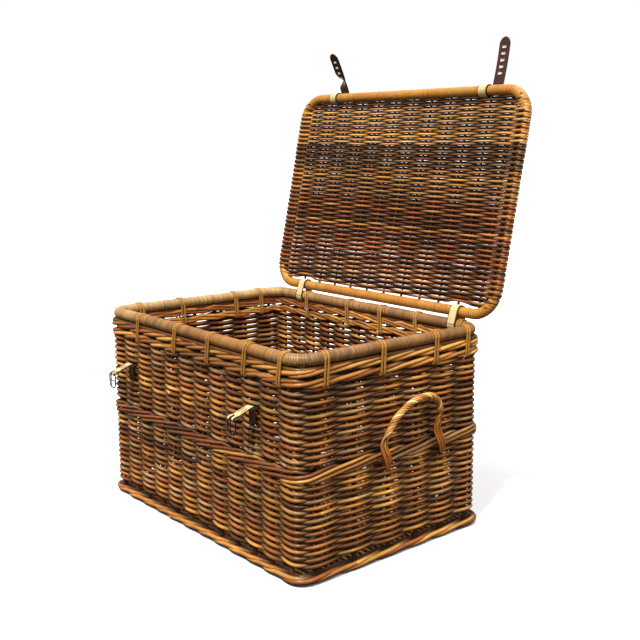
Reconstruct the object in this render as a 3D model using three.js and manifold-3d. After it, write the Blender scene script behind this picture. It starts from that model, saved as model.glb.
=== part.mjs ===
// Rectangular wicker storage trunk with a framed lid on two leather loop hinges.
// Millimetres, +Z up, +X along the trunk's length, +Y towards the hinges.
// The origin is the centre of the underside. The lid is modelled standing open.
import * as THREE from "three";
import { mergeVertices } from "three/addons/utils/BufferGeometryUtils.js";
import Module from "manifold-3d";

const wasm = await Module();
wasm.setup();

// ---------------------------------------------------------------- driving dimensions
const GAP = 0.3; // clearance between pieces that touch

const RIM_LENGTH = 590; // rim pole centreline, along X
const RIM_DEPTH = 400; // rim pole centreline, along Y
const RIM_HEIGHT = 360; // rim pole centreline above the floor
const RIM_CORNER_RADIUS = 34; // rim pole centreline, seen from above
const WALL_CORNER_RADIUS = 18; // wall centreline: the weave turns more sharply than the rim pole
const CORNER_STEPS = 5;

const WALL_HALF = 9; // half thickness of the randed wall
const WALE_HALF = 11; // half thickness of the mid wale and the foot border
const BORDER_HALF = 10; // half thickness of the top border
const FOOT_TOP = 19.7;
const RAIL_TOP = 26; // top of the rails that the stakes stand on
const MID_WALE_BOTTOM = 165;
const MID_WALE_TOP = 188;
const TIE_SLOT_BOTTOM = 315.6; // the rim ties pass through the wall here
const TIE_SLOT_TOP = 318.2;
const BORDER_TOP = 345.7;

const STAKE_RADIUS = 3;
const STAKE_SIDES = 6;
const LONG_WALL_STAKES = 12; // evenly spaced on the front and the back
const END_STAKE_Y = [-165.5, -91, -16.5, 48, 109, 172.5];

const BASE_THICKNESS = 13;
const BASE_STICK_RADIUS = 2.8;
const BASE_RAIL = 5;

const RIM_POLE_RADIUS = 9.6;
const RIM_WRAP_RADIUS = 10.8;
const TIE_WIDTH = 5;
const TIE_THICKNESS = 1.4;
const TIES = {
  front: [258.5, 165, 58, -49, -179],
  back: [258.5, 148, 49, -49, -180],
  right: [-155, -37, 85, 163],
  left: [-142, -50, 80, 145],
};

const LID_LENGTH = 620; // lid frame centreline, along X
const LID_DEPTH = 404; // from the hinge axis to the lid's front pole
const LID_OFFSET = 14; // the lid sits a little to the right of the trunk
const LID_CORNER_RADIUS = 48;
const LID_OPEN_DEG = 78; // the open lid's lean, measured from +Y
const LID_POLE_RADIUS = 8.8;
const LID_WRAP_RADIUS = 9.8;
const LID_PANEL_HALF = 6;
const LID_STAKE_RADIUS = 2.4;
const LID_STAKE_PITCH = 50;
const LID_STAKES = 12;
const LID_RAIL = 3;
const HINGE_Y = RIM_DEPTH / 2 + 7;
const HINGE_Z = RIM_HEIGHT + 23.2;

const HINGE_STRAP_X = [-206, 240];
const HINGE_STRAP_WIDTH = 21;
const LEATHER = 2.2; // leather thickness

const BAND_X = [-200, 222]; // the leather bands on the lid's front pole
const STRAP_X = [-175, 250]; // the closing straps stand beside their bands
const STRAP_WIDTH = 25;
const STRAP_LENGTH = 84;
const STRAP_HOLES = 5;
const STRAP_HOLE_RADIUS = 2.2;
const STRAP_HOLE_PITCH = 12;
const STRAP_LEAN_DEG = [35, 0]; // the left strap droops towards the trunk's front

const TAB_X = [-209, 186]; // the two buckle tabs on the front wall
const TAB_WIDTH = 18;
const TAB_LENGTH = 45;
const TAB_DROP_DEG = 20; // the tab's slope below the horizontal
const TAB_Z = 273; // hinge line of the tab
const ANCHOR_BOTTOM = 243;
const ANCHOR_TOP = TAB_Z - LEATHER - 1.7; // leaves room for the tab to fold down

const BUCKLE_WIDTH = 24;
const BUCKLE_LENGTH = 26;
const WIRE_RADIUS = 1.3;

const HANDLE_RADIUS = 6;
const HANDLE_STEPS = 32;
const HANDLE_FEET_Y = [-27, 100];
const HANDLE_FOOT_Z = 152;
const FOOT_HOLE_WIDTH = 19; // opening in the weave round each foot
const FOOT_HOLE_HEIGHT = 25;
// The grip from foot to foot: distance beyond the wall centreline, y, z. It hangs a little skewed.
const HANDLE_ROUTE = [
  [4.2, -26, 152], [15, -29, 153], [20, -36, 172], [21, -47, 203], [24, -33, 229],
  [27, -18, 249], [30, 12, 267], [31, 48, 271], [30, 69, 258], [27, 78, 235],
  [23, 76, 213], [21, 78, 200], [20, 90, 174], [15, 98, 155], [4.2, 102, 154],
];

// ---------------------------------------------------------------- finishes
const finish = (color, roughness, metalness = 0) =>
  new THREE.MeshStandardMaterial({ color, roughness, metalness });
const FINISH = {
  weave: finish(0x7a4a24, 0.6),
  wale: finish(0x8f5e30, 0.55),
  stake: finish(0x6b3f1f, 0.65),
  cane: finish(0xb98a4e, 0.5),
  goldCane: finish(0xc4883a, 0.45),
  creamLeather: finish(0xdcc59a, 0.7),
  darkLeather: finish(0x4a2a20, 0.55),
  steel: finish(0x2a2b2d, 0.4, 0.8),
};

// ---------------------------------------------------------------- shape helpers
function roundedRect(length, depth, radius, steps = CORNER_STEPS) {
  const shape = new THREE.Shape();
  const x = length / 2 - radius;
  const y = depth / 2 - radius;
  const corners = [[x, y, 0], [-x, y, 1], [-x, -y, 2], [x, -y, 3]];
  const points = [];
  for (const [cx, cy, quarter] of corners) {
    for (let i = 0; i <= steps; i++) {
      const a = (quarter + i / steps) * (Math.PI / 2);
      points.push(new THREE.Vector2(cx + radius * Math.cos(a), cy + radius * Math.sin(a)));
    }
  }
  return shape.setFromPoints(points);
}

function circlePath(x, y, radius, sides, Kind = THREE.Path) {
  const points = [];
  for (let i = 0; i < sides; i++) {
    const a = ((i + 0.5) / sides) * Math.PI * 2;
    points.push(new THREE.Vector2(x + radius * Math.cos(a), y + radius * Math.sin(a)));
  }
  return new Kind().setFromPoints(points);
}

const extrude = (shape, depth) => new THREE.ExtrudeGeometry(shape, { depth, bevelEnabled: false });

// A point on the wall's centreline, given its x (long walls) or its y (end walls).
function longWallPoint(x, side) {
  const over = Math.max(0, Math.abs(x) - (RIM_LENGTH / 2 - WALL_CORNER_RADIUS));
  return [x, side * (RIM_DEPTH / 2 - WALL_CORNER_RADIUS + Math.sqrt(WALL_CORNER_RADIUS ** 2 - over ** 2))];
}

function endWallPoint(y, side) {
  const over = Math.max(0, Math.abs(y) - (RIM_DEPTH / 2 - WALL_CORNER_RADIUS));
  return [side * (RIM_LENGTH / 2 - WALL_CORNER_RADIUS + Math.sqrt(WALL_CORNER_RADIUS ** 2 - over ** 2)), y];
}

const longStakeX = Array.from(
  { length: LONG_WALL_STAKES },
  (_, i) => ((i + 0.5) / LONG_WALL_STAKES - 0.5) * RIM_LENGTH,
);
const STAKE_POINTS = {
  front: longStakeX.map((x) => longWallPoint(x, -1)),
  back: longStakeX.map((x) => longWallPoint(x, 1)),
  left: END_STAKE_Y.map((y) => endWallPoint(y, -1)),
  right: END_STAKE_Y.map((y) => endWallPoint(y, 1)),
};

// A level band of wall between two heights, with a channel for every stake.
function wallRing(half, bottom, top) {
  const shape = roundedRect(RIM_LENGTH + 2 * half, RIM_DEPTH + 2 * half, WALL_CORNER_RADIUS + half);
  shape.holes.push(roundedRect(RIM_LENGTH - 2 * half, RIM_DEPTH - 2 * half, WALL_CORNER_RADIUS - half));
  for (const [x, y] of Object.values(STAKE_POINTS).flat())
    shape.holes.push(circlePath(x, y, STAKE_RADIUS + GAP + 0.1, STAKE_SIDES));
  return extrude(shape, top - bottom).translate(0, 0, bottom);
}

// A smooth route through given points; a closed route joins its last point to its first.
class Route extends THREE.Curve {
  constructor(points, closed = false) {
    super();
    this.points = points;
    this.closed = closed;
  }
  get spans() {
    return this.points.length - (this.closed ? 0 : 1);
  }
  at(i) {
    const n = this.points.length;
    return this.closed ? this.points[((i % n) + n) % n] : this.points[Math.min(Math.max(i, 0), n - 1)];
  }
  getPointAt(u, target = new THREE.Vector3()) {
    return target.copy(this.at(Math.round(u * this.spans)));
  }
  getTangentAt(u, target = new THREE.Vector3()) {
    const i = Math.round(u * this.spans);
    const before = this.at(i).clone().sub(this.at(i - 1)).normalize();
    const after = this.at(i + 1).clone().sub(this.at(i)).normalize();
    return target.copy(before.add(after)).normalize();
  }
}

const loopRoute = (length, depth, radius) =>
  new Route(
    roundedRect(length, depth, radius).getPoints().map((p) => new THREE.Vector3(p.x, p.y, 0)),
    true,
  );

const closedTube = (route, radius, sides) =>
  new THREE.TubeGeometry(route, route.spans, radius, sides, true);

const openTube = (route, shape) =>
  new THREE.ExtrudeGeometry(shape, { extrudePath: route, steps: route.spans, bevelEnabled: false });

function ringShape(outer, inner, sides) {
  const shape = circlePath(0, 0, outer, sides, THREE.Shape);
  shape.holes.push(circlePath(0, 0, inner, sides));
  return shape;
}

// ---------------------------------------------------------------- joining and cutting
function solid(geometry) {
  const plain = geometry.index ? geometry.toNonIndexed() : geometry.clone();
  plain.deleteAttribute("normal");
  plain.deleteAttribute("uv");
  const merged = mergeVertices(plain, 1e-4);
  return new wasm.Manifold(
    new wasm.Mesh({
      numProp: 3,
      vertProperties: merged.attributes.position.array,
      triVerts: new Uint32Array(merged.index.array),
    }),
  );
}

function geometryOf(manifold) {
  const { vertProperties, triVerts } = manifold.getMesh();
  const geometry = new THREE.BufferGeometry();
  geometry.setAttribute("position", new THREE.BufferAttribute(vertProperties, 3));
  geometry.setIndex(new THREE.BufferAttribute(triVerts, 1));
  return geometry;
}

const join = (geometries) => geometryOf(geometries.map(solid).reduce((a, b) => a.add(b)));
const cut = (geometry, ...tools) =>
  geometryOf(tools.map(solid).reduce((a, b) => a.subtract(b), solid(geometry)));
const common = (a, b) => geometryOf(solid(a).intersect(solid(b)));
const box = (x, y, z) => new THREE.BoxGeometry(x, y, z);

// A prism drawn in the YZ plane and extruded along X, centred on x = 0.
function crossExtrude(shape, width) {
  return extrude(shape, width)
    .translate(0, 0, -width / 2)
    .applyMatrix4(new THREE.Matrix4().makeBasis(
      new THREE.Vector3(0, 1, 0), new THREE.Vector3(0, 0, 1), new THREE.Vector3(1, 0, 0),
    ));
}

// ---------------------------------------------------------------- the scene graph
const trunk = new THREE.Group();

function place(parent, name, geometry, material, x = 0, y = 0, z = 0) {
  const mesh = new THREE.Mesh(geometry, material);
  mesh.name = name;
  mesh.position.set(x, y, z);
  parent.add(mesh);
  return mesh;
}

// ---------------------------------------------------------------- trunk base
function basePanel() {
  const length = RIM_LENGTH - 2 * (WALE_HALF + GAP);
  const depth = RIM_DEPTH - 2 * (WALE_HALF + GAP);
  const front = -depth / 2;
  const back = depth / 2 - BASE_RAIL - GAP;
  const profile = new THREE.Shape([
    new THREE.Vector2(-length / 2, 0),
    new THREE.Vector2(length / 2, 0),
    new THREE.Vector2(length / 2, BASE_THICKNESS),
    new THREE.Vector2(-length / 2, BASE_THICKNESS),
  ]);
  for (const x of longStakeX)
    profile.holes.push(circlePath(x, BASE_THICKNESS / 2, BASE_STICK_RADIUS + GAP + 0.1, STAKE_SIDES));
  const slab = extrude(profile, back - front).rotateX(Math.PI / 2).translate(0, back, 0);
  const outline = roundedRect(length, depth, WALL_CORNER_RADIUS - WALE_HALF);
  return common(slab, extrude(outline, BASE_THICKNESS + 2).translate(0, 0, -1));
}

function baseSticks() {
  const inner = RIM_DEPTH / 2 - WALE_HALF - GAP;
  const rods = longStakeX.map((x) =>
    extrude(circlePath(x, BASE_THICKNESS / 2, BASE_STICK_RADIUS, STAKE_SIDES, THREE.Shape), 2 * inner - 1)
      .rotateX(Math.PI / 2)
      .translate(0, inner - 1, 0),
  );
  const rail = box(RIM_LENGTH, BASE_RAIL, BASE_RAIL)
    .translate(0, inner - BASE_RAIL / 2, BASE_THICKNESS / 2);
  const outline = roundedRect(
    RIM_LENGTH - 2 * (WALE_HALF + GAP), 2 * inner, WALL_CORNER_RADIUS - WALE_HALF,
  );
  return common(join([rail, ...rods]), extrude(outline, BASE_THICKNESS));
}

place(trunk, "base_weave", basePanel(), FINISH.weave);
place(trunk, "base_sticks", baseSticks(), FINISH.stake);

// ---------------------------------------------------------------- woven walls
// The stakes of one wall stand on a rail, and the weave is threaded round them.
function stakeComb(points, along) {
  const first = points[0];
  const last = points[points.length - 1];
  const length = along === "x" ? last[0] - first[0] : last[1] - first[1];
  const mid = along === "x" ? (first[0] + last[0]) / 2 : (first[1] + last[1]) / 2;
  const level = along === "x" ? points[3][1] : points[3][0];
  const rail = along === "x" ? box(length, 12, RAIL_TOP - FOOT_TOP - 2 * GAP)
    : box(12, length, RAIL_TOP - FOOT_TOP - 2 * GAP);
  rail.translate(along === "x" ? mid : level, along === "x" ? level : mid, (RAIL_TOP + FOOT_TOP) / 2);
  const stakes = points.map(([x, y]) =>
    extrude(circlePath(x, y, STAKE_RADIUS, STAKE_SIDES, THREE.Shape), BORDER_TOP - 2).translate(0, 0, 1),
  );
  return join([rail, ...stakes]);
}

function handleRoute(side) {
  const points = HANDLE_ROUTE.map(([out, y, z]) => new THREE.Vector3(side * (RIM_LENGTH / 2 + out), y, z));
  return new Route(new THREE.CatmullRomCurve3(points).getPoints(HANDLE_STEPS));
}

const lowerWeave = cut(
  wallRing(WALL_HALF, RAIL_TOP + GAP, MID_WALE_BOTTOM - GAP),
  ...[-1, 1].flatMap((side) =>
    HANDLE_FEET_Y.map((y) =>
      box(4 * WALL_HALF, FOOT_HOLE_WIDTH, FOOT_HOLE_HEIGHT)
        .translate(side * (RIM_LENGTH / 2), y, HANDLE_FOOT_Z),
    ),
  ),
);

const slotBox = (x, z) =>
  box(TAB_WIDTH + 1, 4 * WALL_HALF, LEATHER + 2 * GAP).translate(x, -RIM_DEPTH / 2, z);
const upperWeave = cut(
  wallRing(WALL_HALF, MID_WALE_TOP + GAP, TIE_SLOT_BOTTOM),
  ...TAB_X.flatMap((x) => [slotBox(x, ANCHOR_BOTTOM + LEATHER / 2), slotBox(x, ANCHOR_TOP - LEATHER / 2)]),
);

place(trunk, "foot_border", wallRing(WALE_HALF, 0, FOOT_TOP), FINISH.wale);
place(trunk, "lower_weave", lowerWeave, FINISH.weave);
place(trunk, "mid_wale", wallRing(WALE_HALF, MID_WALE_BOTTOM, MID_WALE_TOP), FINISH.wale);
place(trunk, "upper_weave", upperWeave, FINISH.weave);
place(trunk, "top_border", wallRing(BORDER_HALF, TIE_SLOT_TOP, BORDER_TOP), FINISH.wale);
for (const [wall, points] of Object.entries(STAKE_POINTS)) {
  const along = wall === "front" || wall === "back" ? "x" : "y";
  place(trunk, `${wall}_stakes`, stakeComb(points, along), FINISH.stake);
}

// ---------------------------------------------------------------- rim pole, its binding and ties
place(
  trunk, "rim_pole",
  closedTube(loopRoute(RIM_LENGTH, RIM_DEPTH, RIM_CORNER_RADIUS), RIM_POLE_RADIUS, 10),
  FINISH.stake, 0, 0, RIM_HEIGHT,
);

// The binding starts and ends at the middle of the back, where its two ends meet.
function rimWrap() {
  const corners = roundedRect(RIM_LENGTH, RIM_DEPTH, RIM_CORNER_RADIUS).getPoints();
  const points = corners.map((p) => new THREE.Vector3(p.x, p.y, 0));
  const firstLeft = CORNER_STEPS + 1;
  const ordered = [...points.slice(firstLeft), ...points.slice(0, firstLeft)];
  const end = (x) => new THREE.Vector3(x, RIM_DEPTH / 2, 0);
  const route = new Route([end(-1), ...ordered, end(1)]);
  return openTube(route, ringShape(RIM_WRAP_RADIUS, RIM_POLE_RADIUS + 0.6, 12));
}
place(trunk, "rim_binding", rimWrap(), FINISH.cane, 0, 0, RIM_HEIGHT);

// A loop of cane over the rim pole, down both faces of the border and through the wall below it.
function tieLoop() {
  const bottom = (TIE_SLOT_BOTTOM + TIE_SLOT_TOP) / 2 - TIE_THICKNESS / 2 - RIM_HEIGHT;
  const outline = (radius, low, Kind) => {
    const points = [[radius, low]];
    for (let i = 0; i <= 6; i++) {
      const a = (i / 6) * Math.PI;
      points.push([radius * Math.cos(a), radius * Math.sin(a)]);
    }
    points.push([-radius, low]);
    return new Kind().setFromPoints(points.map(([y, z]) => new THREE.Vector2(y, z)));
  };
  const inner = RIM_WRAP_RADIUS + GAP + 0.4;
  const shape = outline(inner + TIE_THICKNESS, bottom, THREE.Shape);
  shape.holes.push(outline(inner, bottom + TIE_THICKNESS, THREE.Path));
  return crossExtrude(shape, TIE_WIDTH);
}

let tieNumber = 0;
for (const [wall, places] of Object.entries(TIES)) {
  for (const s of places) {
    tieNumber += 1;
    const name = `rim_tie_${String(tieNumber).padStart(2, "0")}`;
    const [x, y] = wall === "front" ? [s, -RIM_DEPTH / 2]
      : wall === "back" ? [s, RIM_DEPTH / 2]
        : [(wall === "right" ? 1 : -1) * (RIM_LENGTH / 2), s];
    const tie = place(trunk, name, tieLoop(), FINISH.cane, x, y, RIM_HEIGHT);
    if (wall === "left" || wall === "right") tie.rotation.z = Math.PI / 2;
  }
}

// ---------------------------------------------------------------- leather loop hinges
// Each band runs round the back rim pole and the lid's back pole.
function hingeStrap() {
  const dy = HINGE_Y - RIM_DEPTH / 2;
  const dz = HINGE_Z - RIM_HEIGHT;
  const distance = Math.hypot(dy, dz);
  const tilt = Math.atan2(dz, dy);
  const low = RIM_WRAP_RADIUS + GAP + 0.5;
  const high = LID_WRAP_RADIUS + GAP + 0.5;
  const lean = Math.asin((low - high) / distance);
  const band = (extra, Kind) => {
    const points = [];
    for (let i = 0; i <= 7; i++) {
      const a = tilt - Math.PI / 2 + lean + ((Math.PI - 2 * lean) * i) / 7;
      points.push([dy + (high + extra) * Math.cos(a), dz + (high + extra) * Math.sin(a)]);
    }
    for (let i = 0; i <= 7; i++) {
      const a = tilt + Math.PI / 2 - lean + ((Math.PI + 2 * lean) * i) / 7;
      points.push([(low + extra) * Math.cos(a), (low + extra) * Math.sin(a)]);
    }
    return new Kind().setFromPoints(points.map(([y, z]) => new THREE.Vector2(y, z)));
  };
  const shape = band(LEATHER - 0.4, THREE.Shape);
  shape.holes.push(band(0, THREE.Path));
  return crossExtrude(shape, HINGE_STRAP_WIDTH);
}
HINGE_STRAP_X.forEach((x, i) =>
  place(trunk, `hinge_strap_${["left", "right"][i]}`, hingeStrap(), FINISH.creamLeather, x,
    RIM_DEPTH / 2, RIM_HEIGHT));

// ---------------------------------------------------------------- handles
for (const [name, side] of [["left", -1], ["right", 1]]) {
  const rope = openTube(handleRoute(side), circlePath(0, 0, HANDLE_RADIUS, 8, THREE.Shape));
  place(trunk, `handle_${name}`, rope, FINISH.goldCane);
}

// ---------------------------------------------------------------- buckle tabs on the front wall
// A leather strip is laced through two slots in the wall; the tab folds out from its top.
function tabAnchor() {
  const outside = -(WALL_HALF + GAP + 0.4 + LEATHER);
  const inside = WALL_HALF + GAP + 0.4 + LEATHER;
  const rectangle = (inset, Kind) =>
    new Kind().setFromPoints([
      new THREE.Vector2(outside + inset, ANCHOR_BOTTOM + inset),
      new THREE.Vector2(inside - inset, ANCHOR_BOTTOM + inset),
      new THREE.Vector2(inside - inset, ANCHOR_TOP - inset),
      new THREE.Vector2(outside + inset, ANCHOR_TOP - inset),
    ]);
  const shape = rectangle(0, THREE.Shape);
  shape.holes.push(rectangle(LEATHER, THREE.Path));
  return crossExtrude(shape, TAB_WIDTH);
}

const TAB_Y = -(WALL_HALF + 1 + LEATHER / 2); // hinge line, from the front wall's centreline
const TAB_DROP = THREE.MathUtils.degToRad(TAB_DROP_DEG);
const BAR_REACH = TAB_LENGTH - WIRE_RADIUS - LEATHER; // buckle bar's distance along the tab

// Drawn lying along -Y from the hinge line, with a sleeve at its end for the buckle's bar.
function tab() {
  const strip = box(TAB_WIDTH, BAR_REACH - 3, LEATHER).translate(0, -(BAR_REACH - 3) / 2 - 0.6, 0);
  const sleeve = crossExtrude(ringShape(WIRE_RADIUS + LEATHER, WIRE_RADIUS + 0.35, 10), TAB_WIDTH);
  const notch = box(5, 13, 12).translate(0, -BAR_REACH - 2.5, 0);
  return cut(
    geometryOf(
      solid(strip).subtract(
        solid(crossExtrude(circlePath(0, 0, WIRE_RADIUS + 0.9, 10, THREE.Shape), 2 * TAB_WIDTH)
          .translate(0, -BAR_REACH, 0)),
      ).add(solid(sleeve.translate(0, -BAR_REACH, 0))),
    ),
    notch,
  );
}

// A bent wire frame with a bar inside the tab's sleeve, a middle bar and a round far end.
function buckleFrame() {
  const half = BUCKLE_WIDTH / 2 - WIRE_RADIUS;
  const round = 8;
  const outline = [[-half, 0], [half, 0], [half, -(BUCKLE_LENGTH - round)]];
  for (let i = 1; i <= 4; i++) {
    const a = (i / 4) * (Math.PI / 2);
    outline.push([half - round + round * Math.cos(a), -(BUCKLE_LENGTH - round) - round * Math.sin(a)]);
  }
  for (let i = 0; i <= 4; i++) {
    const a = Math.PI / 2 + (i / 4) * (Math.PI / 2);
    outline.push([-half + round + round * Math.cos(a), -(BUCKLE_LENGTH - round) - round * Math.sin(a)]);
  }
  const loop = new Route(outline.map(([x, z]) => new THREE.Vector3(x, 0, z)), true);
  const frame = closedTube(loop, WIRE_RADIUS, 8);
  const bar = new THREE.CylinderGeometry(WIRE_RADIUS * 0.8, WIRE_RADIUS * 0.8, 2 * half, 8)
    .rotateZ(Math.PI / 2)
    .translate(0, 0, -BUCKLE_LENGTH / 2);
  return join([frame, bar]);
}

// The prong hooks round the same bar and lies along the frame's outer face.
function prong() {
  const eye = crossExtrude(ringShape(WIRE_RADIUS + 1.8, WIRE_RADIUS + 0.35, 10), 2.2);
  const pin = box(2, 1.8, BUCKLE_LENGTH - 1).translate(0, -(WIRE_RADIUS + 1.2), -(BUCKLE_LENGTH - 1) / 2);
  const bore = crossExtrude(circlePath(0, 0, WIRE_RADIUS + 0.35, 10, THREE.Shape), 10);
  return cut(join([eye, pin]), bore);
}

TAB_X.forEach((x, i) => {
  const name = ["left", "right"][i];
  const y = -RIM_DEPTH / 2;
  place(trunk, `tab_anchor_${name}`, tabAnchor(), FINISH.darkLeather, x, y, 0);
  const leather = place(trunk, `buckle_tab_${name}`, tab(), FINISH.creamLeather, x, y + TAB_Y, TAB_Z);
  leather.rotation.x = TAB_DROP;
  const barY = y + TAB_Y - BAR_REACH * Math.cos(TAB_DROP);
  const barZ = TAB_Z - BAR_REACH * Math.sin(TAB_DROP);
  place(trunk, `buckle_frame_${name}`, buckleFrame(), FINISH.steel, x, barY, barZ);
  place(trunk, `buckle_prong_${name}`, prong(), FINISH.steel, x, barY, barZ);
});

// ---------------------------------------------------------------- lid
// The lid is drawn flat, from the hinge axis along +Y, with its inner face up, then stood open.
const lid = new THREE.Group();
lid.position.set(LID_OFFSET, HINGE_Y, HINGE_Z);
lid.rotation.x = THREE.MathUtils.degToRad(LID_OPEN_DEG);
trunk.add(lid);

const PANEL_SIDE = LID_LENGTH / 2 - LID_WRAP_RADIUS - 0.7;
const PANEL_BACK = 17; // clear of the leather hinge bands when the lid is shut
const PANEL_FRONT = LID_DEPTH - 16;
const lidStakeX = Array.from({ length: LID_STAKES }, (_, i) => (i - (LID_STAKES - 1) / 2) * LID_STAKE_PITCH);

place(
  lid, "lid_frame_pole",
  closedTube(loopRoute(LID_LENGTH, LID_DEPTH, LID_CORNER_RADIUS), LID_POLE_RADIUS, 10),
  FINISH.stake, 0, LID_DEPTH / 2, 0,
);

function lidPanel() {
  const profile = new THREE.Shape([
    new THREE.Vector2(-PANEL_SIDE, -LID_PANEL_HALF),
    new THREE.Vector2(PANEL_SIDE, -LID_PANEL_HALF),
    new THREE.Vector2(PANEL_SIDE, LID_PANEL_HALF),
    new THREE.Vector2(-PANEL_SIDE, LID_PANEL_HALF),
  ]);
  for (const x of lidStakeX)
    profile.holes.push(circlePath(x, 0, LID_STAKE_RADIUS + GAP + 0.1, STAKE_SIDES));
  const depth = PANEL_FRONT - PANEL_BACK;
  const slab = extrude(profile, depth).rotateX(Math.PI / 2).translate(0, PANEL_FRONT, 0);
  const outline = roundedRect(2 * PANEL_SIDE, depth, LID_CORNER_RADIUS - 14);
  const mask = extrude(outline, 4 * LID_PANEL_HALF)
    .translate(0, (PANEL_FRONT + PANEL_BACK) / 2, -2 * LID_PANEL_HALF);
  return common(slab, mask);
}

function lidStakes() {
  const last = LID_STAKE_PITCH * (LID_STAKES - 1);
  const rail = box(last, LID_RAIL, 2 * LID_STAKE_RADIUS)
    .translate(0, PANEL_FRONT + GAP + LID_RAIL / 2, 0);
  const rods = lidStakeX.map((x) =>
    extrude(circlePath(x, 0, LID_STAKE_RADIUS, STAKE_SIDES, THREE.Shape), PANEL_FRONT - PANEL_BACK)
      .rotateX(Math.PI / 2)
      .translate(0, PANEL_FRONT + LID_RAIL / 2, 0),
  );
  return join([rail, ...rods]);
}

const sleeve = (length) => {
  const route = new Route([new THREE.Vector3(-length / 2, 0, 0), new THREE.Vector3(length / 2, 0, 0)]);
  return openTube(route, ringShape(LID_WRAP_RADIUS, LID_POLE_RADIUS + 0.5, 12));
};
const straightX = LID_LENGTH - 2 * LID_CORNER_RADIUS;
const straightY = LID_DEPTH - 2 * LID_CORNER_RADIUS;

place(lid, "lid_weave", lidPanel(), FINISH.weave);
place(lid, "lid_stakes", lidStakes(), FINISH.stake);
place(lid, "lid_front_binding", sleeve(straightX), FINISH.goldCane, 0, LID_DEPTH, 0);
place(lid, "lid_back_binding", sleeve(straightX), FINISH.goldCane, 0, 0, 0);
for (const [name, side] of [["left", -1], ["right", 1]]) {
  const edge = place(lid, `lid_${name}_edge`, sleeve(straightY), FINISH.weave,
    side * (LID_LENGTH / 2), LID_DEPTH / 2, 0);
  edge.rotation.z = Math.PI / 2;
}

// ---------------------------------------------------------------- closing straps on the lid
const BAND_INNER = LID_WRAP_RADIUS + GAP + 0.2;
const BAND_OUTER = BAND_INNER + 1.6;
const STRAP_ROOT = BAND_OUTER + 2; // hinge line of the strap, beyond the pole's centre

const strapBand = () => crossExtrude(ringShape(BAND_OUTER, BAND_INNER, 14), STRAP_WIDTH);

// A flat strip with a pointed tip and a row of holes.
function strapBlade() {
  const half = STRAP_WIDTH / 2;
  const tip = STRAP_WIDTH * 0.5;
  const outline = new THREE.Shape([
    new THREE.Vector2(-half, 0),
    new THREE.Vector2(half, 0),
    new THREE.Vector2(half, STRAP_LENGTH - tip),
    new THREE.Vector2(0, STRAP_LENGTH),
    new THREE.Vector2(-half, STRAP_LENGTH - tip),
  ]);
  for (let i = 0; i < STRAP_HOLES; i++)
    outline.holes.push(circlePath(0, STRAP_LENGTH - tip - 6 - i * STRAP_HOLE_PITCH, STRAP_HOLE_RADIUS, 8));
  return extrude(outline, LEATHER).translate(0, 0, -LEATHER / 2);
}

STRAP_X.forEach((x, i) => {
  const name = ["left", "right"][i];
  place(lid, `strap_band_${name}`, strapBand(), FINISH.creamLeather, BAND_X[i] - LID_OFFSET, LID_DEPTH, 0);
  const strap = place(lid, `closing_strap_${name}`, strapBlade(), FINISH.darkLeather,
    x - LID_OFFSET, LID_DEPTH + STRAP_ROOT, 0);
  strap.rotation.x = THREE.MathUtils.degToRad(STRAP_LEAN_DEG[i]);
});

export default trunk;
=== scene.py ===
"""Looks of an open wicker storage trunk: rods, cane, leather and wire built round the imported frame.

Lengths are in millimetres until a mesh is written, which turns them into metres in the row frame.
"""

import math

import bpy
import numpy as np
from mathutils import Matrix, Vector

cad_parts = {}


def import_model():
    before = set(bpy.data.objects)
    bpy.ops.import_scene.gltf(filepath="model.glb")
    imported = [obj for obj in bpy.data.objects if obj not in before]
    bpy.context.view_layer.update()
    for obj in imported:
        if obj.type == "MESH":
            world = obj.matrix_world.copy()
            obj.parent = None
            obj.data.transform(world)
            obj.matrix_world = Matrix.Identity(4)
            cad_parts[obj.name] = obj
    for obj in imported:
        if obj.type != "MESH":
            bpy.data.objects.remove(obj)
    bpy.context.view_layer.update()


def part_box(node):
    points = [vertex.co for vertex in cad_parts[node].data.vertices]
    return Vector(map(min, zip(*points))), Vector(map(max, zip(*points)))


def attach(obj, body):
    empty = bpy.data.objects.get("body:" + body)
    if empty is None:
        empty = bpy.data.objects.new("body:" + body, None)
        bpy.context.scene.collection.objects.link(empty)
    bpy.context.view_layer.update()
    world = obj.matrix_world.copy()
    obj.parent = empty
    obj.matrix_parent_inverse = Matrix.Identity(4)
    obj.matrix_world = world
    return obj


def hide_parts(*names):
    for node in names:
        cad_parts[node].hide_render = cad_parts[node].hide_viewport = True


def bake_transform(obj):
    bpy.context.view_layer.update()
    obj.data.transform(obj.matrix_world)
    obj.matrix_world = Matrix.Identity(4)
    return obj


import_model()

MM = 0.001
rng = np.random.default_rng(20)
X_AXIS = np.array([1.0, 0.0, 0.0])
Y_AXIS = np.array([0.0, 1.0, 0.0])
Z_AXIS = np.array([0.0, 0.0, 1.0])


# ---- driving dimensions
def box_mm(node):
    low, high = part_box(node)
    return np.array(low) / MM, np.array(high) / MM


border_low, border_high = box_mm("top_border")
rim_low, rim_high = box_mm("rim_binding")

RIM_WRAP_RADIUS = (rim_high[2] - rim_low[2]) / 2
RIM_Z = (rim_high[2] + rim_low[2]) / 2
HALF_LENGTH = rim_high[0] - RIM_WRAP_RADIUS  # wall and rim centreline
HALF_DEPTH = rim_high[1] - RIM_WRAP_RADIUS
RIM_CORNER_RADIUS = 34
WALL_CORNER_RADIUS = 18
LONG_WALL_STAKES = 12
END_STAKE_Y = (-165.5, -91, -16.5, 48, 109, 172.5)
STAKE_RADIUS = 3
ROW_PITCH = 5.4

LID_OPEN = math.radians(78)
LID_ORIGIN = np.array([14, HALF_DEPTH + 7, RIM_Z + 23.2])  # the hinge axis, at the lid's middle
LID_HALF = 310
LID_DEPTH = 404
LID_CORNER_RADIUS = 48
LID_STAKES = 12
LID_STAKE_PITCH = 50

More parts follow.
